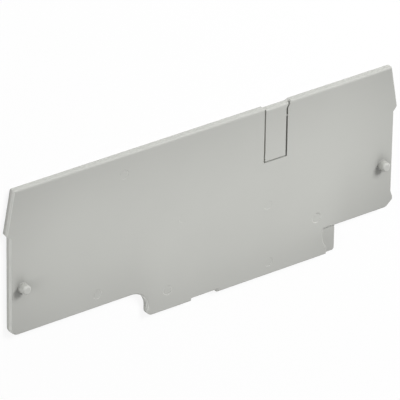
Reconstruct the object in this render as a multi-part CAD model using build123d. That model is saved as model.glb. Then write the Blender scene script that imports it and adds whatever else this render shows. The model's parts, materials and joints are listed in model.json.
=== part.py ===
from build123d import *
import os

# End cover for a row of rail-mounted terminal blocks. It closes the open side of the
# last block, and is one flat moulding: a thin plate with an ear at each upper side, a
# foot that reaches down over the mounting rail, a scored break-out tab in its top edge,
# and two pins on its inner face that press into the block.
# The cover lies on its plain outer face with its inner face up. X runs along the
# cover, Y points to the edge that is on top in use, and Z is the plate's thickness.
# The origin is under the middle of the outline. All sizes are in millimetres.

# Plate
overall_length = 72.2
overall_height = 29.1
plate_thickness = 1.1
edge_rounding = 0.32

# Ears, at both upper sides
ear_overhang = 0.64
ear_height = 7.1
ear_lean = 1.28
ear_undercut = 0.8
ear_tip_radius = 0.15

# Lower corners of the plate. The right one swells outwards a little and is cut off slanting.
left_corner_radius = 1.4
swelling_reach = 0.38
swelling_height = 1.6
swelling_slope = 1.0
swelling_radius = 0.6
right_corner_width = 1.28
right_corner_height = 1.08
right_corner_side_radius = 0.6
right_corner_low_radius = 1.0

# Foot, which stands off the middle
foot_drop = 4.65
foot_left_reach = 10.65
foot_right_reach = 25.0
foot_root_radius = 3.0
foot_left_radius = 0.9
foot_right_radius = 0.5

# Recess for the moulding gate, in the foot's lower edge
gate_left_reach = 2.4
gate_right_reach = 2.35
gate_depth = 0.45
gate_ramp = 0.1

# Thinned end of the foot, which the next part's foot laps over
lap_depth = 0.48
lap_rounding = 0.22
lap_top_width = 2.45
lap_waist_width = 2.62
lap_waist_drop = 1.2
lap_low_width = 1.85
lap_low_drop = 3.4

# Break-out tab in the top edge, bounded by scores at both sides and below
tab_left_place = 10.59
tab_width = 3.8
tab_height = 8.83
tab_drop = 0.26
tab_flare = 0.6
tab_flare_height = 1.1
left_score_width = 0.27
left_score_depth = 0.36
right_score_width = 0.32
right_score_depth = 0.5
low_score_width = 0.27
low_score_depth = 0.8
web_height = 0.18
web_drop = 2.3
web_set_back = 0.04

# Pins
pin_diameter = 1.56
pin_length = 1.35
pin_chamfer = 0.24
pin_side_distance = 2.05
pin_height = 7.95

# Two heights closer than this are the same level
same_level = 0.001

# Lines of the outline that follow from the sizes above
half_length = overall_length / 2
side_x = half_length - ear_overhang
top_corner_x = half_length - ear_lean
top_y = overall_height / 2
foot_y = -top_y
plate_low_y = foot_y + foot_drop
ear_tip_y = top_y - ear_height
swelling_x = side_x + swelling_reach
swelling_y = plate_low_y + swelling_height
gate_y = foot_y + gate_depth
tab_left = tab_left_place + left_score_width
tab_right = tab_left + tab_width
room_right = tab_right + right_score_width
tab_top_y = top_y - tab_drop
tab_low_y = tab_top_y - tab_height
room_low_y = tab_low_y - low_score_width
flare_y = top_y - tab_flare_height
tab_flared_x = tab_right + tab_flare * (tab_flare_height - tab_drop) / tab_flare_height


def rounded_profile(corners):
    """Closed face through corners given as (x, y, radius)."""
    with BuildSketch() as profile:
        with BuildLine():
            FilletPolyline(
                *[(x, y) for x, y, radius in corners],
                radius=[radius for x, y, radius in corners],
                close=True,
            )
        make_face()
    return profile.sketch


def plate_outline():
    """Outer line of the cover, from the lower left corner anticlockwise."""
    corners = [
        (-side_x, plate_low_y, left_corner_radius),
        (-foot_left_reach, plate_low_y, foot_root_radius),
        (-foot_left_reach, foot_y, foot_left_radius),
        (-gate_left_reach - gate_ramp, foot_y, 0),
        (-gate_left_reach, gate_y, 0),
        (gate_right_reach, gate_y, 0),
        (gate_right_reach, foot_y, 0),
        (foot_right_reach, foot_y, foot_right_radius),
        (foot_right_reach, plate_low_y, 0),
        (swelling_x - right_corner_width, plate_low_y, right_corner_low_radius),
        (swelling_x, plate_low_y + right_corner_height, right_corner_side_radius),
        (swelling_x, swelling_y, 0),
        (side_x, swelling_y + swelling_slope, swelling_radius),
        (side_x, ear_tip_y - ear_undercut, 0),
        (half_length, ear_tip_y, ear_tip_radius),
        (top_corner_x, top_y, ear_tip_radius),
        (-top_corner_x, top_y, ear_tip_radius),
        (-half_length, ear_tip_y, ear_tip_radius),
        (-side_x, ear_tip_y - ear_undercut, 0),
    ]
    return rounded_profile(corners)


def lap_outline():
    """Area of the foot's right end that is thinned, run past the foot's edges."""
    past = foot_right_reach + lap_depth
    top = (foot_right_reach - lap_top_width, plate_low_y)
    waist = (foot_right_reach - lap_waist_width, plate_low_y - lap_waist_drop)
    low = (foot_right_reach - lap_low_width, plate_low_y - lap_low_drop)
    below = foot_y - lap_depth
    with BuildSketch() as area:
        with BuildLine():
            ThreePointArc(top, waist, low)
            Polyline(low, (low[0], below), (past, below), (past, plate_low_y), top)
        make_face()
    return area.sketch


def rim(solid, level):
    """Edges that bound the faces lying flat at a level."""
    flat = solid.faces().filter_by(Axis.Z)
    return flat.filter_by(lambda face: abs(face.center().Z - level) < same_level).edges()


def plate():
    """Plate with ears, foot, gate recess and thinned foot end, its inner rim rounded all round."""
    lap_level = plate_thickness - lap_depth
    solid = extrude(plate_outline(), plate_thickness)
    solid -= Pos(0, 0, lap_level) * extrude(lap_outline(), lap_depth)
    solid = fillet(rim(solid, plate_thickness), edge_rounding)
    outer = rim(solid, lap_level).filter_by(
        lambda edge: edge.center().X > foot_right_reach - foot_right_radius
        or edge.center().Y < foot_y + foot_right_radius
    )
    return fillet(outer, lap_rounding)


def tab_room():
    """Opening in the top edge for the tab and its scores, with a slanted upper right side."""
    corners = [
        (tab_left_place, room_low_y, 0),
        (room_right, room_low_y, 0),
        (room_right, flare_y, 0),
        (room_right + tab_flare, top_y, 0),
        (tab_left_place, top_y, 0),
    ]
    return extrude(rounded_profile(corners), plate_thickness)


def tab():
    """Break-out tab, a little lower than the top edge and rounded like it."""
    corners = [
        (tab_left, tab_low_y, 0),
        (tab_right, tab_low_y, 0),
        (tab_right, flare_y, 0),
        (tab_flared_x, tab_top_y, 0),
        (tab_left, tab_top_y, 0),
    ]
    solid = extrude(rounded_profile(corners), plate_thickness)
    top_edge = rim(solid, plate_thickness).sort_by(Axis.Y)[-1]
    return fillet(top_edge, edge_rounding)


def score_floors():
    """What is left of the plate under the three scores round the tab."""
    left = [
        (tab_left_place, room_low_y, 0),
        (tab_left, room_low_y, 0),
        (tab_left, tab_top_y, 0),
        (tab_left_place, tab_top_y, 0),
    ]
    right = [
        (tab_right, room_low_y, 0),
        (room_right, room_low_y, 0),
        (room_right, flare_y, 0),
        (room_right + tab_flare, top_y, 0),
        (tab_flared_x, tab_top_y, 0),
        (tab_right, flare_y, 0),
    ]
    low = [
        (tab_left, room_low_y, 0),
        (tab_right, room_low_y, 0),
        (tab_right, tab_low_y, 0),
        (tab_left, tab_low_y, 0),
    ]
    return [
        extrude(rounded_profile(left), plate_thickness - left_score_depth),
        extrude(rounded_profile(right), plate_thickness - right_score_depth),
        extrude(rounded_profile(low), plate_thickness - low_score_depth),
    ]


def web():
    """Small bridge that the moulding left across the right score."""
    upright = (Align.MIN, Align.CENTER, Align.MIN)
    bridge = Box(right_score_width, web_height, plate_thickness - web_set_back, align=upright)
    return Pos(tab_right, top_y - web_drop, 0) * bridge


def pin(x):
    """Pin that presses into the terminal block, with a chamfered tip."""
    upright = (Align.CENTER, Align.CENTER, Align.MIN)
    solid = Cylinder(pin_diameter / 2, plate_thickness + pin_length, align=upright)
    tip = solid.edges().sort_by(Axis.Z)[-1]
    return Pos(x, plate_low_y + pin_height, 0) * chamfer(tip, pin_chamfer)


def end_cover():
    """The whole moulding as one solid."""
    solid = plate() - tab_room()
    for piece in [tab(), web(), *score_floors()]:
        solid += piece
    pin_x = side_x - pin_side_distance
    for x in (-pin_x, pin_x):
        solid += pin(x)
    return solid


os.makedirs("parts", exist_ok=True)
export_step(end_cover(), "parts/end_cover.step")
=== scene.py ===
import json
import math
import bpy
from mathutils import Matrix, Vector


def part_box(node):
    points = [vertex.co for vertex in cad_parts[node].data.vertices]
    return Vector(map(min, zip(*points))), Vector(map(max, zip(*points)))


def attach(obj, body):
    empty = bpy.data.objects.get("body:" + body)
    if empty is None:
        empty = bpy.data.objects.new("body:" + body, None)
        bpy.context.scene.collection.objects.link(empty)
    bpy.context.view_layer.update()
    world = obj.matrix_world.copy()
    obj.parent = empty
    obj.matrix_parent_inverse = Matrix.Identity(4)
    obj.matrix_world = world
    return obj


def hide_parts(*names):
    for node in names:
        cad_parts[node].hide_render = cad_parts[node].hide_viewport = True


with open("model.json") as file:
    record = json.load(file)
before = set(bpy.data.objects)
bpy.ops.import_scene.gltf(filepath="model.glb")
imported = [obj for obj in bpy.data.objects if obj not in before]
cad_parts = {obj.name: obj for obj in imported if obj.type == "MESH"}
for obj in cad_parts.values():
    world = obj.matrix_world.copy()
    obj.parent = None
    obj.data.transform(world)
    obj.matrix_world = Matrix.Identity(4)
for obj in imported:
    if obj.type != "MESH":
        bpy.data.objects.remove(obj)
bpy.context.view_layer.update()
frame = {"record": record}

from types import SimpleNamespace

import bmesh
import bpy
from bpy.props import FloatProperty, FloatVectorProperty, PointerProperty
from mathutils import Matrix, Vector

bl_info = {
    "name": "Terminal Block End Cover",
    "version": (1, 0, 0),
    "blender": (4, 5, 0),
    "location": "3D View > Sidebar > End Cover",
    "description": "Moulds the end cover of a rail-mounted terminal block and lights it in a studio",
    "category": "Object",
}

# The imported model
NODE = "end_cover"
BODY = "root"
BOX_LOW, BOX_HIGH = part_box(NODE)
MOUNTS = {mount["name"]: mount for mount in frame["record"]["mounts"]}
PIN_MOUNTS = ("left_pin", "right_pin")

# Metres in a millimetre. The moulding is built in millimetres and scaled down at the end,
# because the boolean solver's tolerance is wide for metres.
MM = 0.001

# Fineness of the moulding, in degrees and in facets
ARC_STEP = 6.0
ROUNDING_FACETS = 6
TURNED_FACETS = 48
SMOOTH_ANGLE = 32.0

# Closeness, in millimetres, at which two points are one
WELD = 0.0005

# Length, in millimetres, by which a joined piece reaches into its neighbour
BITE = 0.06

# Places on the inner face that the mould's ejector pins have marked, and how much shallower
# each mark is than the deepest one, in millimetres
EJECTOR_PLACES = (
    (-7.0, -11.1, 0.05),
    (21.0, -7.5, 0.0),
    (12.0, -12.3, 0.08),
    (-19.9, -7.6, 0.05),
    (11.6, -2.2, 0.085),
    (-15.2, 11.3, 0.075),
    (-4.3, 0.5, 0.095),
)

# Seed of the ejector marks' tilts
EJECTOR_SEED = 3

# Width of the softened rims of a pin's chamfer, as a share of the chamfer
CHAMFER_SOFTENING = 0.18

# Painted border shade: the power by which it fades, its strength at each side as a share of that at
# the lower side, and the heights about the plate's lower edge, in millimetres, at which it begins
# and ends to run out at the foot's right side
BORDER_POWER = 1.5
BORDER_AT_TOP = 0.83
BORDER_AT_LEFT = 0.5
BORDER_AT_RIGHT = 0.75
BORDER_AT_FOOT_END = 0.33
FOOT_END_RUN_OUT = (-2.0, 1.0)

# How far a surface agrees with the direction of the border shade before it takes any
LEAST_AGREEMENT = 0.25

# Painted highlight on the left-facing rims and painted shade low on the left ear's wall: depths below
# the inner face, in millimetres, and how far a surface faces left or up, each as the two ends of a
# smooth change
HIGHLIGHT_DEPTHS = (0.55, 0.25)
HIGHLIGHT_LEFT = (0.2, 0.6)
HIGHLIGHT_UP = (0.0, 0.35)
EAR_DEPTHS = (0.7, 0.4)
EAR_LEFT = (0.5, 0.9)
EAR_UP = (0.05, 0.15)

# Directions from the cover to the lamps
TO_KEY_LAMP = (0.475, 0.586, 0.656)
TO_OTHER_LAMPS = {
    "left": (-0.978, 0.137, 0.156),
    "low": (0.226, -0.787, 0.574),
    "right": (0.574, 0, 0.819),
    "top": (0, 0.995, 0.105),
}

# Colour of the background
WHITE = (1, 1, 1, 1)

# Width of the camera's sensor, in millimetres, and how many times nearer and farther than the
# cover it still sees
SENSOR_WIDTH = 36.0
CLIP_FACTOR = 10


def length(name, description, millimetres):
    """Property for a length, with its default given in millimetres."""
    return FloatProperty(
        name=name,
        description=description,
        default=millimetres * MM,
        min=0.0,
        precision=5,
        subtype="DISTANCE",
        unit="LENGTH",
    )


def angle(name, description, degrees):
    """Property for an angle, with its default given in degrees."""
    return FloatProperty(
        name=name,
        description=description,
        default=math.radians(degrees),
        subtype="ANGLE",
        unit="ROTATION",
    )


def share(name, description, default):
    """Property for a plain number that isn't negative."""
    return FloatProperty(name=name, description=description, default=default, min=0.0)


def colour(name, description, default):
    """Property for a linear colour."""
    return FloatVectorProperty(
        name=name, description=description, default=default, min=0.0, max=1.0, size=3, subtype="COLOR"
    )


class MouldingSizes(bpy.types.PropertyGroup):
    """Sizes of the moulding.

    Its height and thickness, and the pins' places and width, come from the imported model.
    """

    overall_length: length("Overall length", "From ear tip to ear tip, before the tips are rounded", 72.2)
    edge_rounding: length("Edge rounding", "Radius of the inner rim", 0.32)
    ear_overhang: length("Ear overhang", "How far an ear stands out at the side", 0.64)
    ear_height: length("Ear height", "From the top edge down to the ear's tip", 7.1)
    ear_lean: length("Ear lean", "How far the ear's side leans in towards the top", 1.28)
    ear_undercut: length("Ear undercut", "Height of the slope under the ear's tip", 0.8)
    ear_tip_radius: length("Ear tip radius", "Rounding of the ear's corners", 0.15)
    left_corner_radius: length("Left corner radius", "Lower left corner of the plate", 1.4)
    swelling_reach: length("Swelling reach", "How far the lower right corner swells outwards", 0.38)
    swelling_height: length("Swelling height", "From the plate's lower edge up to the swelling's slope", 1.6)
    swelling_slope: length("Swelling slope", "Height over which the swelling runs out", 1.0)
    swelling_radius: length("Swelling radius", "Rounding where the swelling meets the side", 0.6)
    right_corner_width: length("Right corner width", "Width of the slanting cut of that corner", 1.28)
    right_corner_height: length("Right corner height", "Height of that cut", 1.08)
    right_corner_side_radius: length("Right corner side radius", "Rounding of the cut's upper end", 0.6)
    right_corner_low_radius: length("Right corner low radius", "Rounding of the cut's lower end", 1.0)
    foot_drop: length("Foot drop", "From the plate's lower edge to the foot's", 4.65)
    foot_left_reach: length("Foot left reach", "From the middle to the foot's left side", 10.65)
    foot_right_reach: length("Foot right reach", "From the middle to the foot's right side", 25.0)
    foot_root_radius: length("Foot root radius", "Fillet between the plate and the foot's left side", 3.0)
    foot_left_radius: length("Foot left radius", "Lower left corner of the foot", 0.9)
    foot_right_radius: length("Foot right radius", "Lower right corner of the foot", 0.5)
    gate_left_reach: length("Gate left reach", "From the middle to the left end of the gate's recess", 2.4)
    gate_right_reach: length("Gate right reach", "From the middle to that recess's right end", 2.35)
    gate_depth: length("Gate depth", "Depth of that recess into the foot's lower edge", 0.45)
    gate_ramp: length("Gate ramp", "Width of the recess's sloping end", 0.1)
    lap_depth: length("Lap depth", "How much thinner the foot's right end is", 0.48)
    lap_rounding: length("Lap rounding", "Rounding of the thinned end's outer rim", 0.22)
    lap_top_width: length("Lap top width", "Width of the thinned end at the plate's edge", 2.45)
    lap_waist_width: length("Lap waist width", "Width of the thinned end where it is widest", 2.62)
    lap_waist_drop: length("Lap waist drop", "How far below the plate's edge it is widest", 1.2)
    lap_low_width: length("Lap low width", "Width of the thinned end's straight part", 1.85)
    lap_low_drop: length("Lap low drop", "How far below the plate's edge that begins", 3.4)
    tab_left_place: length("Tab left place", "From the middle to the tab's left score", 10.59)
    tab_width: length("Tab width", "Width of the break-out tab", 3.8)
    tab_height: length("Tab height", "Height of the break-out tab", 8.83)
    tab_drop: length("Tab drop", "How far the tab's top lies below the plate's", 0.26)
    tab_flare: length("Tab flare", "How far the tab's right side leans out at the top", 0.6)
    tab_flare_height: length("Tab flare height", "Height of the leaning part", 1.1)
    left_score_width: length("Left score width", "Width of the score left of the tab", 0.27)
    left_score_depth: length("Left score depth", "Depth of that score", 0.36)
    right_score_width: length("Right score width", "Width of the score right of the tab", 0.32)
    right_score_depth: length("Right score depth", "Depth of that score", 0.5)
    low_score_width: length("Low score width", "Width of the score below the tab", 0.27)
    low_score_depth: length("Low score depth", "Depth of that score", 0.8)
    web_height: length("Web height", "Height of the small bridge across the right score", 0.18)
    web_drop: length("Web drop", "From the plate's top to that bridge", 2.3)
    web_set_back: length("Web set-back", "How far that bridge lies below the inner face", 0.04)
    pin_length: length("Pin length", "How far the pins stand out of the inner face", 1.35)
    pin_chamfer: length("Pin chamfer", "Chamfer at the pins' tips", 0.24)
    pin_root_fillet: length("Pin root fillet", "Fillet where a pin meets the inner face", 0.1)
    ejector_diameter: length("Ejector mark diameter", "Width of the marks of the ejector pins", 1.75)
    ejector_depth: length("Ejector mark depth", "Depth of the deepest mark of the ejector pins", 0.11)
    ejector_wall: length("Ejector mark wall", "Width of the sloping rim of a mark", 0.15)
    ejector_tilt: angle("Ejector mark tilt", "Most that a mark's floor is out of level", 2.5)


class PlasticFinish(bpy.types.PropertyGroup):
    """Colour and surface of the grey plastic, with its painted shade and painted highlights."""

    body_colour: colour("Body colour", "Colour of the moulded plastic", (0.542, 0.547, 0.516))
    cloud_colour: colour("Cloud colour", "Colour of the faint clouds in the plastic", (0.522, 0.527, 0.497))
    # Painted shade: the border colour darkens the plastic towards the outline on surfaces that face the
    # border facing, and also at the pins, in the right score and low on the left ear's wall
    border_colour: colour("Border colour", "Colour of the shade near the outline", (0.27, 0.27, 0.257))
    border_share: share("Border share", "How much of that colour shows at the lower side", 0.33)
    border_reach: length("Border reach", "How far from the outline that still shows", 6.7)
    border_facing: FloatVectorProperty(
        name="Border facing",
        description="Direction that a surface faces to take the border colour",
        default=(0.5, 0.0, 0.87),
        subtype="DIRECTION",
    )
    # Painted highlight, lighter than the body, on the left-facing rims and on the pins' chamfers and tips
    highlight_colour: colour("Highlight colour", "Colour of the highlight painted on the rims", (0.7, 0.705, 0.67))
    root_shade: share("Root shade", "How much of the border colour shows at the pins' roots", 0.55)
    root_reach: length("Root reach", "How far from the pins that still shows", 0.6)
    pin_shade: share("Pin shade", "How much of the border colour shows on the pins' walls", 0.1)
    # Painted highlight on the pins' chamfers and tips
    pin_highlight: share("Pin highlight", "How much of the rubbed colour shows on the pins' tips", 0.2)
    # Painted shade in the right score's recess
    score_shade: share("Score shade", "How much of the border colour shows in the right score", 0.45)
    ear_shade: share("Ear shade", "How much of the border colour shows low on the left ear's wall", 0.3)
    cloud_size: length("Cloud size", "Width of the faint clouds", 9.0)
    grain_size: length("Grain size", "Width of the mould's spark-eroded grain", 0.16)
    grain_height: length("Grain height", "Height of the grain", 0.0015)
    waviness_size: length("Waviness size", "Width of the shallow waves of the flat faces", 5.0)
    waviness_height: length("Waviness height", "Height of the shallow waves", 0.004)
    roughness: share("Roughness", "Mean roughness of the surface", 0.65)
    roughness_spread: share("Roughness spread", "How far the roughness varies", 0.08)


class StudioSettings(bpy.types.PropertyGroup):
    """Camera, lamps and floor."""

    camera_azimuth: angle("Camera azimuth", "Turn of the view about the cover's upright edge", 36.31)
    camera_elevation: angle("Camera elevation", "How far the view looks down on the top edge", 29.105)
    camera_roll: angle("Camera roll", "Turn of the picture", 0.987)
    camera_distance: length("Camera distance", "From the aim to the camera", 761.7)
    camera_lens: FloatProperty(
        name="Camera lens",
        description="Focal length in millimetres on a 36 mm sensor",
        default=456.8,
        unit="CAMERA",
    )
    camera_aim: FloatVectorProperty(
        name="Camera aim",
        description="Point of the cover in the middle of the picture",
        default=(-1.231 * MM, 2.657 * MM, 1.1 * MM),
        subtype="TRANSLATION",
        unit="LENGTH",
    )
    key_level: share("Key level", "Light of the key lamp on a surface that faces it", 0.9)
    key_width: length("Key width", "Width of the key lamp", 227.0)
    key_distance: length("Key distance", "From the cover to the key lamp", 600.0)
    left_level: share("Left level", "Light of the left lamp on a surface that faces it", 0.615)
    low_level: share("Low level", "Light of the low lamp on a surface that faces it", 0.285)
    right_level: share("Right level", "Light of the right lamp on a surface that faces it", 0.15)
    top_level: share("Top level", "Light of the top lamp on a surface that faces it", 0.175)
    fill_width: length("Fill width", "Width of the other lamps", 300.0)
    ambient_level: share("Ambient level", "Light of the surroundings", 0.0)
    lamp_distance: length("Lamp distance", "From the cover to the other lamps", 450.0)
    floor_width: length("Floor width", "Width of the floor", 3000.0)
    floor_gap: length("Floor gap", "Space between the floor and the cover's outer face", 0.02)
    floor_colour: colour("Floor colour", "Colour of the floor as it lights the cover", (0.85, 0.85, 0.85))
    shadow_share: share("Shadow share", "How much of the floor's shading the picture keeps", 0.13)


class Wire:
    """A node's output, on which Python's operators add Math nodes."""

    def __init__(self, build, socket):
        self.build = build
        self.socket = socket

    def __add__(self, other):
        return self.build.maths("ADD", self, other)

    def __sub__(self, other):
        return self.build.maths("SUBTRACT", self, other)

    def __rsub__(self, other):
        return self.build.maths("SUBTRACT", other, self)

    def __mul__(self, other):
        return self.build.maths("MULTIPLY", self, other)

    def __truediv__(self, other):
        return self.build.maths("DIVIDE", self, other)

    def __neg__(self):
        return self.build.maths("MULTIPLY", self, -1.0)

    __radd__ = __add__
    __rmul__ = __mul__

    def exponential(self):
        """The base of natural logarithms to the power of this value."""
        return self.build.maths("EXPONENT", self)


class NodeBuilder:
    """Adds nodes to a tree and links them."""

    def __init__(self, tree):
        self.tree = tree
        tree.nodes.clear()

    def add(self, kind, settings=None, sockets=None, output=0):
        """Node of a kind, and the wire from its output if it has one.

        Its settings are set first, and then its sockets get values, wires or lists of wires.
        """
        node = self.tree.nodes.new(kind)
        for name, value in (settings or {}).items():
            setattr(node, name, value)
        for name, value in (sockets or {}).items():
            for wire in value if isinstance(value, list) else [value]:
                if isinstance(wire, Wire):
                    self.tree.links.new(wire.socket, node.inputs[name])
                else:
                    node.inputs[name].default_value = wire
        return Wire(self, node.outputs[output]) if node.outputs else node

    def maths(self, operation, *values):
        """Math node on one or two values."""
        return self.add("ShaderNodeMath", {"operation": operation}, dict(enumerate(values)))

    def split(self, vector):
        """X, Y and Z of a vector."""
        first = self.add("ShaderNodeSeparateXYZ", None, {"Vector": vector})
        return [Wire(self, socket) for socket in first.socket.node.outputs]

    def rising(self, value, start, end):
        """0 below a start and 1 above an end, with a smooth rise between them."""
        sockets = {"Value": value, "From Min": start, "From Max": end}
        return self.add("ShaderNodeMapRange", {"interpolation_type": "SMOOTHSTEP"}, sockets)

    def between(self, value, low, high):
        """1 from a low to a high limit, and 0 beyond them."""
        return self.rising(value, low - WELD, low) * (1.0 - self.rising(value, high, high + WELD))

    def mixed(self, share, first, second):
        """First colour, turned into a second one by a share."""
        # The colours are the seventh and the eighth socket of this node, and their mix is its third output
        return self.add("ShaderNodeMix", {"data_type": "RGBA"}, {0: share, 6: first, 7: second}, output=2)

    def raised(self, geometry, level):
        """Geometry moved up by a value."""
        upwards = self.add("ShaderNodeCombineXYZ", None, {"Z": level})
        return self.add("GeometryNodeTransform", None, {"Geometry": geometry, "Translation": upwards})


def new_geometry_tree(name, inputs):
    """Geometry Nodes tree with named inputs, and the builder and the wires of those inputs."""
    tree = bpy.data.node_groups.new(name, "GeometryNodeTree")
    tree.interface.new_socket("Geometry", in_out="INPUT", socket_type="NodeSocketGeometry")
    for label, kind in inputs.items():
        tree.interface.new_socket(label, in_out="INPUT", socket_type=kind)
    tree.interface.new_socket("Geometry", in_out="OUTPUT", socket_type="NodeSocketGeometry")
    build = NodeBuilder(tree)
    source = tree.nodes.new("NodeGroupInput")
    wires = {socket.name: Wire(build, socket) for socket in source.outputs if socket.name}
    return tree, build, wires


def finish_geometry_tree(build, geometry, material):
    """Ends a tree with real geometry that carries its material."""
    real = build.add("GeometryNodeRealizeInstances", None, {"Geometry": geometry})
    dressed = build.add("GeometryNodeSetMaterial", None, {"Geometry": real, "Material": material})
    build.add("NodeGroupOutput", None, {"Geometry": dressed})


def turned(build, stations):
    """Closed solid turned about Z through (radius, level) stations, from the lowest up."""
    parts = []
    for (low_radius, low), (high_radius, high) in zip(stations, stations[1:]):
        band = build.add(
            "GeometryNodeMeshCone",
            {"fill_type": "NONE"},
            {
                "Vertices": TURNED_FACETS,
                "Radius Bottom": low_radius,
                "Radius Top": high_radius,
                "Depth": high - low,
            },
        )
        parts.append(build.raised(band, low))
    for radius, level, turned_down in ((*stations[0], True), (*stations[-1], False)):
        cap = build.add(
            "GeometryNodeMeshCircle", {"fill_type": "NGON"}, {"Vertices": TURNED_FACETS, "Radius": radius}
        )
        if turned_down:
            cap = build.add("GeometryNodeFlipFaces", None, {"Mesh": cap})
        parts.append(build.raised(cap, level))
    whole = build.add("GeometryNodeJoinGeometry", None, {"Geometry": parts})
    return build.add("GeometryNodeMergeByDistance", None, {"Geometry": whole, "Distance": WELD})


def pins_tree():
    """Tree that stands a pin with a filleted root and a softened chamfer on each point."""
    kinds = {
        "Radius": "NodeSocketFloat",
        "Length": "NodeSocketFloat",
        "Chamfer": "NodeSocketFloat",
        "Root fillet": "NodeSocketFloat",
        "Foot": "NodeSocketFloat",
        "Material": "NodeSocketMaterial",
    }
    tree, build, wires = new_geometry_tree("cover_pins", kinds)
    radius, rise, chamfer = wires["Radius"], wires["Length"], wires["Chamfer"]
    fillet = wires["Root fillet"]
    stations = [(radius + fillet, -wires["Foot"])]
    for step in range(ROUNDING_FACETS + 1):
        turn = math.pi / 2 * step / ROUNDING_FACETS
        stations.append((radius + fillet * (1 - math.sin(turn)), fillet * (1 - math.cos(turn))))
    soft = chamfer * CHAMFER_SOFTENING
    slant = soft * math.sqrt(0.5)
    stations += [
        (radius, rise - chamfer - soft),
        (radius - slant, rise - chamfer + slant),
        (radius - chamfer + slant, rise - slant),
        (radius - chamfer - soft, rise),
    ]
    pin = turned(build, stations)
    pins = build.add("GeometryNodeInstanceOnPoints", None, {"Points": wires["Geometry"], "Instance": pin})
    finish_geometry_tree(build, pins, wires["Material"])
    return tree


def ejector_marks_tree():
    """Tree that lays a cutter for an ejector mark on each point, each a little out of level."""
    kinds = {
        "Diameter": "NodeSocketFloat",
        "Depth": "NodeSocketFloat",
        "Wall": "NodeSocketFloat",
        "Tilt": "NodeSocketFloat",
        "Seed": "NodeSocketInt",
        "Material": "NodeSocketMaterial",
    }
    tree, build, wires = new_geometry_tree("ejector_marks", kinds)
    depth, wall, tilt = wires["Depth"], wires["Wall"], wires["Tilt"]
    rim = wires["Diameter"] / 2
    cutter = turned(build, [(rim - wall, -depth), (rim + wall, depth)])
    most = build.add("ShaderNodeCombineXYZ", None, {"X": tilt, "Y": tilt})
    least = build.add("ShaderNodeCombineXYZ", None, {"X": -tilt, "Y": -tilt})
    turn = build.add(
        "FunctionNodeRandomValue",
        {"data_type": "FLOAT_VECTOR"},
        {"Min": least, "Max": most, "Seed": wires["Seed"]},
    )
    marks = build.add(
        "GeometryNodeInstanceOnPoints",
        None,
        {"Points": wires["Geometry"], "Instance": cutter, "Rotation": turn},
    )
    finish_geometry_tree(build, marks, wires["Material"])
    return tree


def show(name, data):
    """Object with a mesh, a lamp or a camera, linked to the scene."""
    item = bpy.data.objects.new(name, data)
    bpy.context.scene.collection.objects.link(item)
    return item


def evaluated_mesh(item, name):
    """Plain mesh of an object as its modifiers leave it."""
    graph = bpy.context.evaluated_depsgraph_get()
    mesh = bpy.data.meshes.new_from_object(item.evaluated_get(graph), depsgraph=graph)
    mesh.name = name
    return mesh


def grown_on_points(name, places, tree, values):
    """Object with the plain mesh that a tree makes on a list of places."""
    points = bpy.data.meshes.new(name)
    points.from_pydata(places, [], [])
    item = show(name, points)
    modifier = item.modifiers.new(name, "NODES")
    modifier.node_group = tree
    for socket in tree.interface.items_tree:
        if socket.in_out == "INPUT" and socket.name in values:
            modifier[socket.identifier] = values[socket.name]
    mesh = evaluated_mesh(item, name)
    item.modifiers.remove(modifier)
    item.data = mesh
    bpy.data.meshes.remove(points)
    return item


def corner_angle(before, corner, after):
    """Angle inside a corner of a line."""
    return (before - corner).angle(after - corner)


def arc(centre, start, end):
    """Points of the shorter arc about a centre from a start to an end, both ends included."""
    spoke = start - centre
    sweep = spoke.angle_signed(end - centre)
    steps = max(2, math.ceil(math.degrees(abs(sweep)) / ARC_STEP))
    return [centre + spoke @ Matrix.Rotation(sweep * step / steps, 2) for step in range(steps + 1)]


def rounded_line(corners):
    """Points of the closed line through (x, y, radius) corners, with arcs at those that have a radius."""
    places = [Vector((x, y)) for x, y, radius in corners]
    points = []
    for index, (place, corner) in enumerate(zip(places, corners)):
        radius = corner[2]
        if not radius:
            points.append(place)
            continue
        before = places[index - 1]
        after = places[(index + 1) % len(places)]
        half = corner_angle(before, place, after) / 2
        back, ahead = (before - place).normalized(), (after - place).normalized()
        centre = place + (back + ahead).normalized() * (radius / math.sin(half))
        reach = radius / math.tan(half)
        points += arc(centre, place + back * reach, place + ahead * reach)
    return [point for point, last in zip(points, points[-1:] + points) if (point - last).length > WELD]


def arc_through(start, middle, end):
    """Points of the arc from a start through a middle to an end, both ends included."""
    start, middle, end = Vector(start), Vector(middle), Vector(end)
    first, second = middle - start, end - start
    cross = 2 * first.cross(second)
    square = first.length_squared, second.length_squared
    centre = start + Vector(
        (second.y * square[0] - first.y * square[1], first.x * square[1] - second.x * square[0])
    ) / cross
    return arc(centre, start, end)


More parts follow.
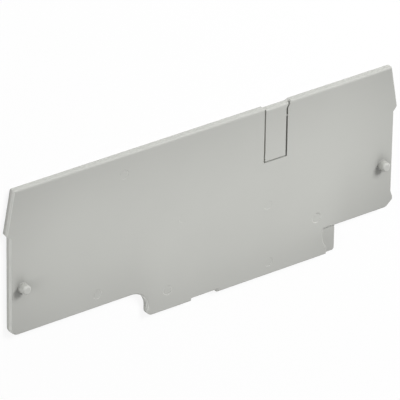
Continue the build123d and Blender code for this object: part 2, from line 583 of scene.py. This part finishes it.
def slab(name, corners, low, high, rounding=0.0, rounded=None):
    """Solid between two levels inside a line of (x, y, radius) corners, with its upper rim rounded.

    Only those rim edges are rounded whose middle the function rounded picks. A corner whose radius
    is smaller than the rounding is made sharp and takes its radius from the same bevel.
    """
    small = [0 < radius < rounding for x, y, radius in corners]
    line = rounded_line([(x, y, 0 if tiny else r) for (x, y, r), tiny in zip(corners, small)])
    form = bmesh.new()
    weight = form.edges.layers.float.new("bevel_weight_edge")
    base = form.faces.new([form.verts.new((point.x, point.y, low)) for point in line])
    grown = bmesh.ops.extrude_face_region(form, geom=[base])
    raised = [part for part in grown["geom"] if isinstance(part, bmesh.types.BMVert)]
    bmesh.ops.translate(form, verts=raised, vec=(0, 0, high - low))
    bmesh.ops.recalc_face_normals(form, faces=form.faces)
    for edge in form.edges:
        middle = (edge.verts[0].co + edge.verts[1].co) / 2
        if min(vert.co.z for vert in edge.verts) > high - WELD and rounding:
            edge[weight] = 1.0 if rounded is None or rounded(middle) else 0.0
    for index, (x, y, radius) in enumerate(corners):
        if small[index]:
            place, before, after = (
                Vector(corners[i % len(corners)][:2]) for i in (index, index - 1, index + 1)
            )
            reach = radius / math.tan(corner_angle(before, place, after) / 2)
            for edge in form.edges:
                if all((vert.co.xy - place).length < WELD for vert in edge.verts):
                    edge[weight] = reach / rounding
    mesh = bpy.data.meshes.new(name)
    form.to_mesh(mesh)
    form.free()
    item = show(name, mesh)
    if rounding:
        bevel = item.modifiers.new("rounding", "BEVEL")
        bevel.limit_method = "WEIGHT"
        bevel.width = rounding
        bevel.segments = ROUNDING_FACETS
        bevel.use_clamp_overlap = False
    return item


def cover_lines(context):
    """Sizes of the moulding and the lines that follow from them, in millimetres, and the tilt in radians."""
    sizes = context.scene.end_cover_moulding
    lines = {key: getattr(sizes, key) / MM for key in MouldingSizes.__annotations__}
    lines["ejector_tilt"] = sizes.ejector_tilt
    at = SimpleNamespace(**lines)
    at.top = BOX_HIGH.y / MM
    at.foot_low = BOX_LOW.y / MM
    at.face = MOUNTS["inner_face"]["pos_m"][2] / MM
    at.plate_low = at.foot_low + at.foot_drop
    at.tip_x = at.overall_length / 2
    at.side_x = at.tip_x - at.ear_overhang
    at.top_corner_x = at.tip_x - at.ear_lean
    at.tip_y = at.top - at.ear_height
    at.swelling_x = at.side_x + at.swelling_reach
    at.swelling_y = at.plate_low + at.swelling_height
    at.lap_level = at.face - at.lap_depth
    at.lap_x = at.foot_right_reach - at.lap_low_width
    at.gate_y = at.foot_low + at.gate_depth
    at.tab_left = at.tab_left_place + at.left_score_width
    at.tab_right = at.tab_left + at.tab_width
    at.room_right = at.tab_right + at.right_score_width
    at.tab_top = at.top - at.tab_drop
    at.tab_low = at.tab_top - at.tab_height
    at.room_low = at.tab_low - at.low_score_width
    at.flare_low = at.top - at.tab_flare_height
    at.flare_lean = at.tab_flare / at.tab_flare_height
    at.tab_flared_x = at.tab_right + at.flare_lean * (at.tab_top - at.flare_low)
    return at


def plate(at):
    """Plate with ears, foot and gate recess, without the foot's thinned end."""
    low = at.plate_low
    lap_arc = arc_through(
        (at.lap_x, low - at.lap_low_drop),
        (at.foot_right_reach - at.lap_waist_width, low - at.lap_waist_drop),
        (at.foot_right_reach - at.lap_top_width, low),
    )
    corners = [
        (-at.side_x, low, at.left_corner_radius),
        (-at.foot_left_reach, low, at.foot_root_radius),
        (-at.foot_left_reach, at.foot_low, at.foot_left_radius),
        (-at.gate_left_reach - at.gate_ramp, at.foot_low, 0),
        (-at.gate_left_reach, at.gate_y, 0),
        (at.gate_right_reach, at.gate_y, 0),
        (at.gate_right_reach, at.foot_low, 0),
        (at.lap_x, at.foot_low, 0),
        *[(point.x, point.y, 0) for point in lap_arc],
        (at.swelling_x - at.right_corner_width, low, at.right_corner_low_radius),
        (at.swelling_x, low + at.right_corner_height, at.right_corner_side_radius),
        (at.swelling_x, at.swelling_y, 0),
        (at.side_x, at.swelling_y + at.swelling_slope, at.swelling_radius),
        (at.side_x, at.tip_y - at.ear_undercut, 0),
        (at.tip_x, at.tip_y, at.ear_tip_radius),
        (at.top_corner_x, at.top, at.ear_tip_radius),
        (-at.top_corner_x, at.top, at.ear_tip_radius),
        (-at.tip_x, at.tip_y, at.ear_tip_radius),
        (-at.side_x, at.tip_y - at.ear_undercut, 0),
    ]
    return slab("plate", corners, 0, at.face, at.edge_rounding)


def thinned_end(at):
    """Thinned right end of the foot, which reaches a little way into the plate."""
    left = at.lap_x - at.lap_low_width
    corners = [
        (left, at.foot_low, 0),
        (at.foot_right_reach, at.foot_low, at.foot_right_radius),
        (at.foot_right_reach, at.plate_low + at.edge_rounding, 0),
        (left, at.plate_low + at.edge_rounding, 0),
    ]
    outer_x = at.foot_right_reach - at.foot_right_radius - WELD
    outer_y = at.foot_low + at.foot_right_radius
    return slab(
        "thinned_end",
        corners,
        0,
        at.lap_level,
        at.lap_rounding,
        lambda middle: middle.x > outer_x or middle.y < outer_y,
    )


def tab_room(at):
    """Cutter for the opening in the top edge that holds the tab and its scores."""
    corners = [
        (at.tab_left_place, at.room_low, 0),
        (at.room_right, at.room_low, 0),
        (at.room_right, at.flare_low, 0),
        (at.room_right + at.tab_flare + BITE * at.flare_lean, at.top + BITE, 0),
        (at.tab_left_place, at.top + BITE, 0),
    ]
    return slab("tab_room", corners, -BITE, at.face + BITE)


def tab(at):
    """Break-out tab, rounded at its top like the plate."""
    corners = [
        (at.tab_left, at.tab_low, 0),
        (at.tab_right, at.tab_low, 0),
        (at.tab_right, at.flare_low, 0),
        (at.tab_flared_x, at.tab_top, 0),
        (at.tab_left, at.tab_top, 0),
    ]
    return slab(
        "tab", corners, 0, at.face, at.edge_rounding, lambda middle: middle.y > at.tab_top - WELD
    )


def box_corners(left, right, low, high):
    """Sharp corners of an upright rectangle."""
    return [(left, low, 0), (right, low, 0), (right, high, 0), (left, high, 0)]


def score_floors(at):
    """What is left of the plate under the scores, and the bridge across the right one.

    Each reaches into its neighbours, but not beyond the outline.
    """
    left = box_corners(at.tab_left_place - BITE, at.tab_left + BITE, at.room_low - BITE, at.tab_top)
    right = [
        (at.tab_right - BITE, at.room_low - BITE, 0),
        (at.room_right + BITE, at.room_low - BITE, 0),
        (at.room_right + BITE, at.flare_low, 0),
        (at.room_right + BITE + at.tab_flare, at.top, 0),
        (at.room_right + at.tab_flare, at.top, 0),
        (at.tab_flared_x, at.tab_top, 0),
        (at.tab_flared_x - BITE, at.tab_top, 0),
        (at.tab_right - BITE, at.flare_low, 0),
    ]
    low = box_corners(at.tab_left, at.tab_right, at.room_low - BITE, at.tab_low + BITE)
    web_y = at.top - at.web_drop
    web = box_corners(
        at.tab_right - BITE, at.room_right + BITE, web_y - at.web_height / 2, web_y + at.web_height / 2
    )
    return [
        slab("left_floor", left, 0, at.face - at.left_score_depth),
        slab("right_floor", right, 0, at.face - at.right_score_depth),
        slab("low_floor", low, 0, at.face - at.low_score_depth),
        slab("web", web, 0, at.face - at.web_set_back),
    ]


def pins(at, material):
    """Both pins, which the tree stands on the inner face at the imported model's pin mounts."""
    places = [(*(value / MM for value in MOUNTS[name]["pos_m"][:2]), at.face) for name in PIN_MOUNTS]
    values = {
        "Radius": MOUNTS[PIN_MOUNTS[0]]["dims"]["r_mm"],
        "Length": at.pin_length,
        "Chamfer": at.pin_chamfer,
        "Root fillet": at.pin_root_fillet,
        "Foot": at.face / 2,
        "Material": material,
    }
    return grown_on_points("pins", places, pins_tree(), values)


def ejector_marks(at, material):
    """Cutters for the ejector marks."""
    places = [(x, y, at.face + shallower) for x, y, shallower in EJECTOR_PLACES]
    values = {
        "Diameter": at.ejector_diameter,
        "Depth": at.ejector_depth,
        "Wall": at.ejector_wall,
        "Tilt": at.ejector_tilt,
        "Seed": EJECTOR_SEED,
        "Material": material,
    }
    return grown_on_points("ejector_marks", places, ejector_marks_tree(), values)


def combined(body, steps):
    """Mesh of a body after each (solid, operation) step, with the solids removed."""
    for item, operation in steps:
        boolean = body.modifiers.new(item.name, "BOOLEAN")
        boolean.object = item
        boolean.operation = operation
        boolean.solver = "EXACT"
    mesh = evaluated_mesh(body, "moulding")
    for item in [body, *(item for item, operation in steps)]:
        used = item.data
        bpy.data.objects.remove(item)
        bpy.data.meshes.remove(used)
    return mesh


def welded(mesh):
    """Merges the points that lie together and marks what is smooth and what is sharp."""
    form = bmesh.new()
    form.from_mesh(mesh)
    bmesh.ops.remove_doubles(form, verts=form.verts, dist=WELD)
    bmesh.ops.dissolve_degenerate(form, edges=form.edges, dist=WELD)
    form.to_mesh(mesh)
    form.free()
    mesh.shade_smooth()
    mesh.set_sharp_from_angle(angle=math.radians(SMOOTH_ANGLE))


def highlight_rims(build, place, normal, at):
    """Share of the painted highlight: 1 on what faces left a little below the inner face's level, and 0
    elsewhere and in the scores.
    """
    x, z = (value / MM for value in build.split(place)[::2])
    in_room = build.between(x, at.tab_left_place, at.room_right + at.tab_flare)
    start, full = HIGHLIGHT_DEPTHS
    high = build.rising(z, at.face - start, at.face - full)
    high *= 1.0 - build.rising(z, at.face, at.face + WELD)
    right, up = build.split(normal)[:2]
    left_facing = build.rising(-right, *HIGHLIGHT_LEFT) * (1.0 - build.rising(up, *HIGHLIGHT_UP))
    return left_facing * high * (1.0 - in_room)


def nearness_to_pins(build, place, reach, at):
    """1 at the pins' roots, fading over the inner face and up the pins' walls, and 0 at the outer face."""
    x, y, z = (value / MM for value in build.split(place))
    mount = MOUNTS[PIN_MOUNTS[1]]
    across = build.maths("ABSOLUTE", x) - mount["pos_m"][0] / MM
    along = y - mount["pos_m"][1] / MM
    distance = build.maths("SQRT", across * across + along * along) - mount["dims"]["r_mm"]
    near = build.maths("MINIMUM", (-distance / reach).exponential(), 1.0)
    return near * build.rising(z, 0.0, at.face) * (1.0 - build.rising(z, at.face, at.face + reach))


def left_ear_wall(build, place, normal, at):
    """Share of the painted shade: 1 on the lower part of the left ear's wall, and 0 elsewhere."""
    z = build.split(place)[2] / MM
    right, up = build.split(normal)[:2]
    full, end = EAR_DEPTHS
    low = 1.0 - build.rising(z, at.face - full, at.face - end)
    return build.rising(-right, *EAR_LEFT) * build.rising(up, *EAR_UP) * low


def right_score_shade(build, place, at):
    """Share of the painted shade in the right score: 1 in the right score and on its web, below the slanted
    part, and 0 elsewhere.
    """
    x, y, z = (value / MM for value in build.split(place))
    inside = build.between(x, at.tab_right, at.room_right)
    inside *= build.rising(y, at.room_low - WELD, at.room_low)
    inside *= 1.0 - build.rising(y, at.flare_low, at.top)
    inside *= build.rising(z, 0.0, BITE)
    return inside * (1.0 - build.rising(z, at.face - at.web_set_back, at.face))


def pin_walls_and_tips(build, place, at):
    """Two values, of which one is 1 on the pins' walls, for their painted shade, and the other on their
    chamfers and tips, for their painted highlight.
    """
    z = build.split(place)[2] / MM
    tip = at.face + at.pin_length
    chamfered = build.rising(z, tip - at.pin_chamfer - at.pin_root_fillet, tip - at.pin_chamfer / 2)
    return build.rising(z, at.face + WELD, at.face + at.pin_root_fillet) * (1.0 - chamfered), chamfered


def facing(build, normal, direction):
    """0 where the surface is turned away from a direction or nearly so, and 1 where it lies level."""
    direction = Vector(direction).normalized()
    agreement = build.add(
        "ShaderNodeVectorMath", {"operation": "DOT_PRODUCT"}, {0: normal, 1: direction}, output="Value"
    )
    return build.rising(agreement, LEAST_AGREEMENT, direction.z)


def nearness_to_outline(build, place, reach, at):
    """Value that is 1 at the cover's lower side, less at the others, and fades inwards."""
    x, y = (value / MM for value in build.split(place)[:2])
    root = at.foot_root_radius
    in_foot = build.rising(x, -at.foot_left_reach - root, -at.foot_left_reach + root)
    in_foot *= 1.0 - build.rising(x, at.foot_right_reach - root, at.foot_right_reach + root)

    def near(distance):
        """1 at no distance and 0.37 at the reach."""
        return (-build.maths("POWER", distance / reach, BORDER_POWER)).exponential()

    start, end = (at.plate_low + height for height in FOOT_END_RUN_OUT)
    foot_end = near(at.foot_right_reach - x) * (1.0 - build.rising(y, start, end))
    low = near(y - at.plate_low + in_foot * at.foot_drop)
    ends = BORDER_AT_LEFT * near(x + at.side_x) + BORDER_AT_RIGHT * near(at.side_x - x)
    return low + BORDER_AT_TOP * near(at.top - y) + ends + BORDER_AT_FOOT_END * foot_end


def grey_plastic(finish, at):
    """Matt grey engineering plastic with faint clouds and the mould's fine spark-eroded grain, and painted
    shade near the outline, at the pins, in the right score and low on the left ear's wall, and a painted
    highlight on the left-facing rims and the pins' tips.
    """
    material = bpy.data.materials.new("grey_moulded_plastic")
    material.use_nodes = True
    build = NodeBuilder(material.node_tree)
    place = build.add("ShaderNodeTexCoord", output="Object")
    normal = build.add("ShaderNodeTexCoord", output="Normal")

    def noise(size, detail):
        """Noise between 0 and 1 whose lumps are about a size wide."""
        sockets = {"Vector": place, "Scale": 1 / size, "Detail": detail}
        return build.add("ShaderNodeTexNoise", None, sockets)

    clouds = noise(finish.cloud_size, detail=3.0)
    grain = noise(finish.grain_size, detail=2.0)
    waves = noise(finish.waviness_size, detail=1.0)
    body = build.mixed(clouds, (*finish.body_colour, 1), (*finish.cloud_colour, 1))
    # Painted shade, darker towards the outline on surfaces that face the given direction
    border = nearness_to_outline(build, place, finish.border_reach / MM, at)
    border = finish.border_share * border * facing(build, normal, finish.border_facing)
    walls, tips = pin_walls_and_tips(build, place, at)
    # Painted shade on the pins' walls, in the right score, low on the left ear's wall and at the pins' roots
    border += finish.pin_shade * walls + finish.score_shade * right_score_shade(build, place, at)
    border += finish.ear_shade * left_ear_wall(build, place, normal, at)
    border += finish.root_shade * nearness_to_pins(build, place, finish.root_reach / MM, at)
    # Painted highlight on the left-facing rims and on the pins' chamfers and tips
    highlight = highlight_rims(build, place, normal, at) + finish.pin_highlight * tips
    body = build.mixed(border, body, (*finish.border_colour, 1))
    body = build.mixed(highlight, body, (*finish.highlight_colour, 1))
    roughness = finish.roughness + finish.roughness_spread * (clouds + grain - 1.0)
    height = grain * finish.grain_height + waves * finish.waviness_height
    bump = build.add("ShaderNodeBump", None, {"Height": height, "Distance": 1.0})
    shader = build.add(
        "ShaderNodeBsdfPrincipled", None, {"Base Color": body, "Roughness": roughness, "Normal": bump}
    )
    build.add("ShaderNodeOutputMaterial", None, {"Surface": shader})
    return material


def floor_finish(studio):
    """Pale floor that shows as white in the picture, apart from a share of its own shading."""
    material = bpy.data.materials.new("studio_floor")
    material.use_nodes = True
    build = NodeBuilder(material.node_tree)
    seen = seen_rays(build)
    shown_colour = build.mixed(seen, (*studio.floor_colour, 1), WHITE)
    lit = build.add("ShaderNodeBsdfDiffuse", None, {"Color": shown_colour})
    white = build.add("ShaderNodeEmission", None, {"Strength": 1.0})
    surface = build.add(
        "ShaderNodeMixShader", None, {0: seen * (1.0 - studio.shadow_share), 1: lit, 2: white}
    )
    build.add("ShaderNodeOutputMaterial", None, {"Surface": surface})
    return material


def seen_rays(build):
    """1 for the rays that show a background: from the camera, off gloss and through glass."""
    rays = "ShaderNodeLightPath"
    camera = build.add(rays, output="Is Camera Ray")
    glossy = build.add(rays, output="Is Glossy Ray")
    passed = build.add(rays, output="Is Transmission Ray")
    return build.maths("MINIMUM", camera + glossy + passed, 1.0)


def lamp(name, toward, distance, width, level):
    """Square lamp aimed at the origin. Its level is its light there, where 1 shows a colour as written."""
    data = bpy.data.lights.new(name, "AREA")
    data.size = width
    data.energy = level * (math.pi * distance) ** 2
    item = show(name, data)
    direction = Vector(toward).normalized()
    item.location = direction * distance
    item.rotation_mode = "QUATERNION"
    item.rotation_quaternion = direction.to_track_quat("Z", "Y")


def set_world(studio):
    """Even surroundings that show as white."""
    world = bpy.data.worlds.new("studio_surroundings")
    world.use_nodes = True
    build = NodeBuilder(world.node_tree)
    seen = seen_rays(build)
    strength = seen * (1.0 - studio.ambient_level) + studio.ambient_level
    light = build.add("ShaderNodeBackground", None, {"Color": WHITE, "Strength": strength})
    build.add("ShaderNodeOutputWorld", None, {"Surface": light})
    bpy.context.scene.world = world


def set_camera(studio):
    """Camera that sees the cover as a viewer does who faces its inner side from the upper left."""
    turn, rise, roll = studio.camera_azimuth, studio.camera_elevation, studio.camera_roll
    back = Vector((-math.sin(turn) * math.cos(rise), math.sin(rise), math.cos(turn) * math.cos(rise)))
    right = Vector((math.cos(turn), 0, math.sin(turn)))
    up = back.cross(right)
    right, up = right * math.cos(roll) + up * math.sin(roll), up * math.cos(roll) - right * math.sin(roll)
    data = bpy.data.cameras.new("camera")
    data.sensor_width = SENSOR_WIDTH
    data.lens = studio.camera_lens
    data.clip_start = studio.camera_distance / CLIP_FACTOR
    data.clip_end = studio.camera_distance * CLIP_FACTOR
    item = show("camera", data)
    turned_axes = Matrix((right, up, back)).transposed().to_4x4()
    place = Vector(studio.camera_aim) + back * studio.camera_distance
    item.matrix_world = Matrix.Translation(place) @ turned_axes
    bpy.context.scene.camera = item


class ENDCOVER_OT_mould(bpy.types.Operator):
    """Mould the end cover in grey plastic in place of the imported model's plain node"""

    bl_idname = "object.mould_end_cover"
    bl_label = "Mould End Cover"

    def execute(self, context):
        at = cover_lines(context)
        material = grey_plastic(context.scene.end_cover_plastic, at)
        steps = [
            (thinned_end(at), "UNION"),
            (tab_room(at), "DIFFERENCE"),
            (tab(at), "UNION"),
            *[(bridge, "UNION") for bridge in score_floors(at)],
            (pins(at, material), "UNION"),
            (ejector_marks(at, material), "DIFFERENCE"),
        ]
        mesh = combined(plate(at), steps)
        welded(mesh)
        rough = show("moulding", mesh)
        rough.modifiers.new("flat_faces_flat", "WEIGHTED_NORMAL").keep_sharp = True
        smooth = evaluated_mesh(rough, "cover_moulding")
        bpy.data.objects.remove(rough)
        bpy.data.meshes.remove(mesh)
        smooth.transform(Matrix.Scale(MM, 4))
        smooth.materials.clear()
        smooth.materials.append(material)
        piece = show("cover_moulding", smooth)
        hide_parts(NODE)
        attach(piece, BODY)
        return {"FINISHED"}


class ENDCOVER_OT_studio(bpy.types.Operator):
    """Lay a pale floor and set up the lamps, the surroundings and the camera"""

    bl_idname = "scene.set_end_cover_studio"
    bl_label = "Set Up Studio"

    def execute(self, context):
        studio = context.scene.end_cover_studio
        half = studio.floor_width / 2
        floor = bpy.data.meshes.new("studio_floor")
        level = -studio.floor_gap
        corners = [(-half, -half, level), (half, -half, level), (half, half, level), (-half, half, level)]
        floor.from_pydata(corners, [], [(0, 1, 2, 3)])
        floor.materials.append(floor_finish(studio))
        show("studio_floor", floor)
        lamp("key_lamp", TO_KEY_LAMP, studio.key_distance, studio.key_width, studio.key_level)
        for side, toward in TO_OTHER_LAMPS.items():
            level_of_side = getattr(studio, side + "_level")
            lamp(side + "_lamp", toward, studio.lamp_distance, studio.fill_width, level_of_side)
        set_world(studio)
        set_camera(studio)
        context.scene.view_settings.view_transform = "Standard"
        return {"FINISHED"}


class ENDCOVER_PT_sidebar(bpy.types.Panel):
    """Sizes, finish and studio of the end cover"""

    bl_idname = "ENDCOVER_PT_sidebar"
    bl_label = "End Cover"
    bl_space_type = "VIEW_3D"
    bl_region_type = "UI"
    bl_category = "End Cover"

    def draw(self, context):
        scene = context.scene
        groups = (
            (scene.end_cover_moulding, ENDCOVER_OT_mould.bl_idname),
            (scene.end_cover_plastic, None),
            (scene.end_cover_studio, ENDCOVER_OT_studio.bl_idname),
        )
        for group, operator in groups:
            box = self.layout.box()
            for name in group.__annotations__:
                box.prop(group, name)
            if operator:
                box.operator(operator)


CLASSES = (
    MouldingSizes,
    PlasticFinish,
    StudioSettings,
    ENDCOVER_OT_mould,
    ENDCOVER_OT_studio,
    ENDCOVER_PT_sidebar,
)


def register():
    for kind in CLASSES:
        bpy.utils.register_class(kind)
    bpy.types.Scene.end_cover_moulding = PointerProperty(type=MouldingSizes)
    bpy.types.Scene.end_cover_plastic = PointerProperty(type=PlasticFinish)
    bpy.types.Scene.end_cover_studio = PointerProperty(type=StudioSettings)


def unregister():
    del bpy.types.Scene.end_cover_studio
    del bpy.types.Scene.end_cover_plastic
    del bpy.types.Scene.end_cover_moulding
    for kind in reversed(CLASSES):
        bpy.utils.unregister_class(kind)


def main():
    """Makes everything."""
    register()
    bpy.ops.object.mould_end_cover()
    bpy.ops.scene.set_end_cover_studio()


if __name__ == "__main__":
    main()
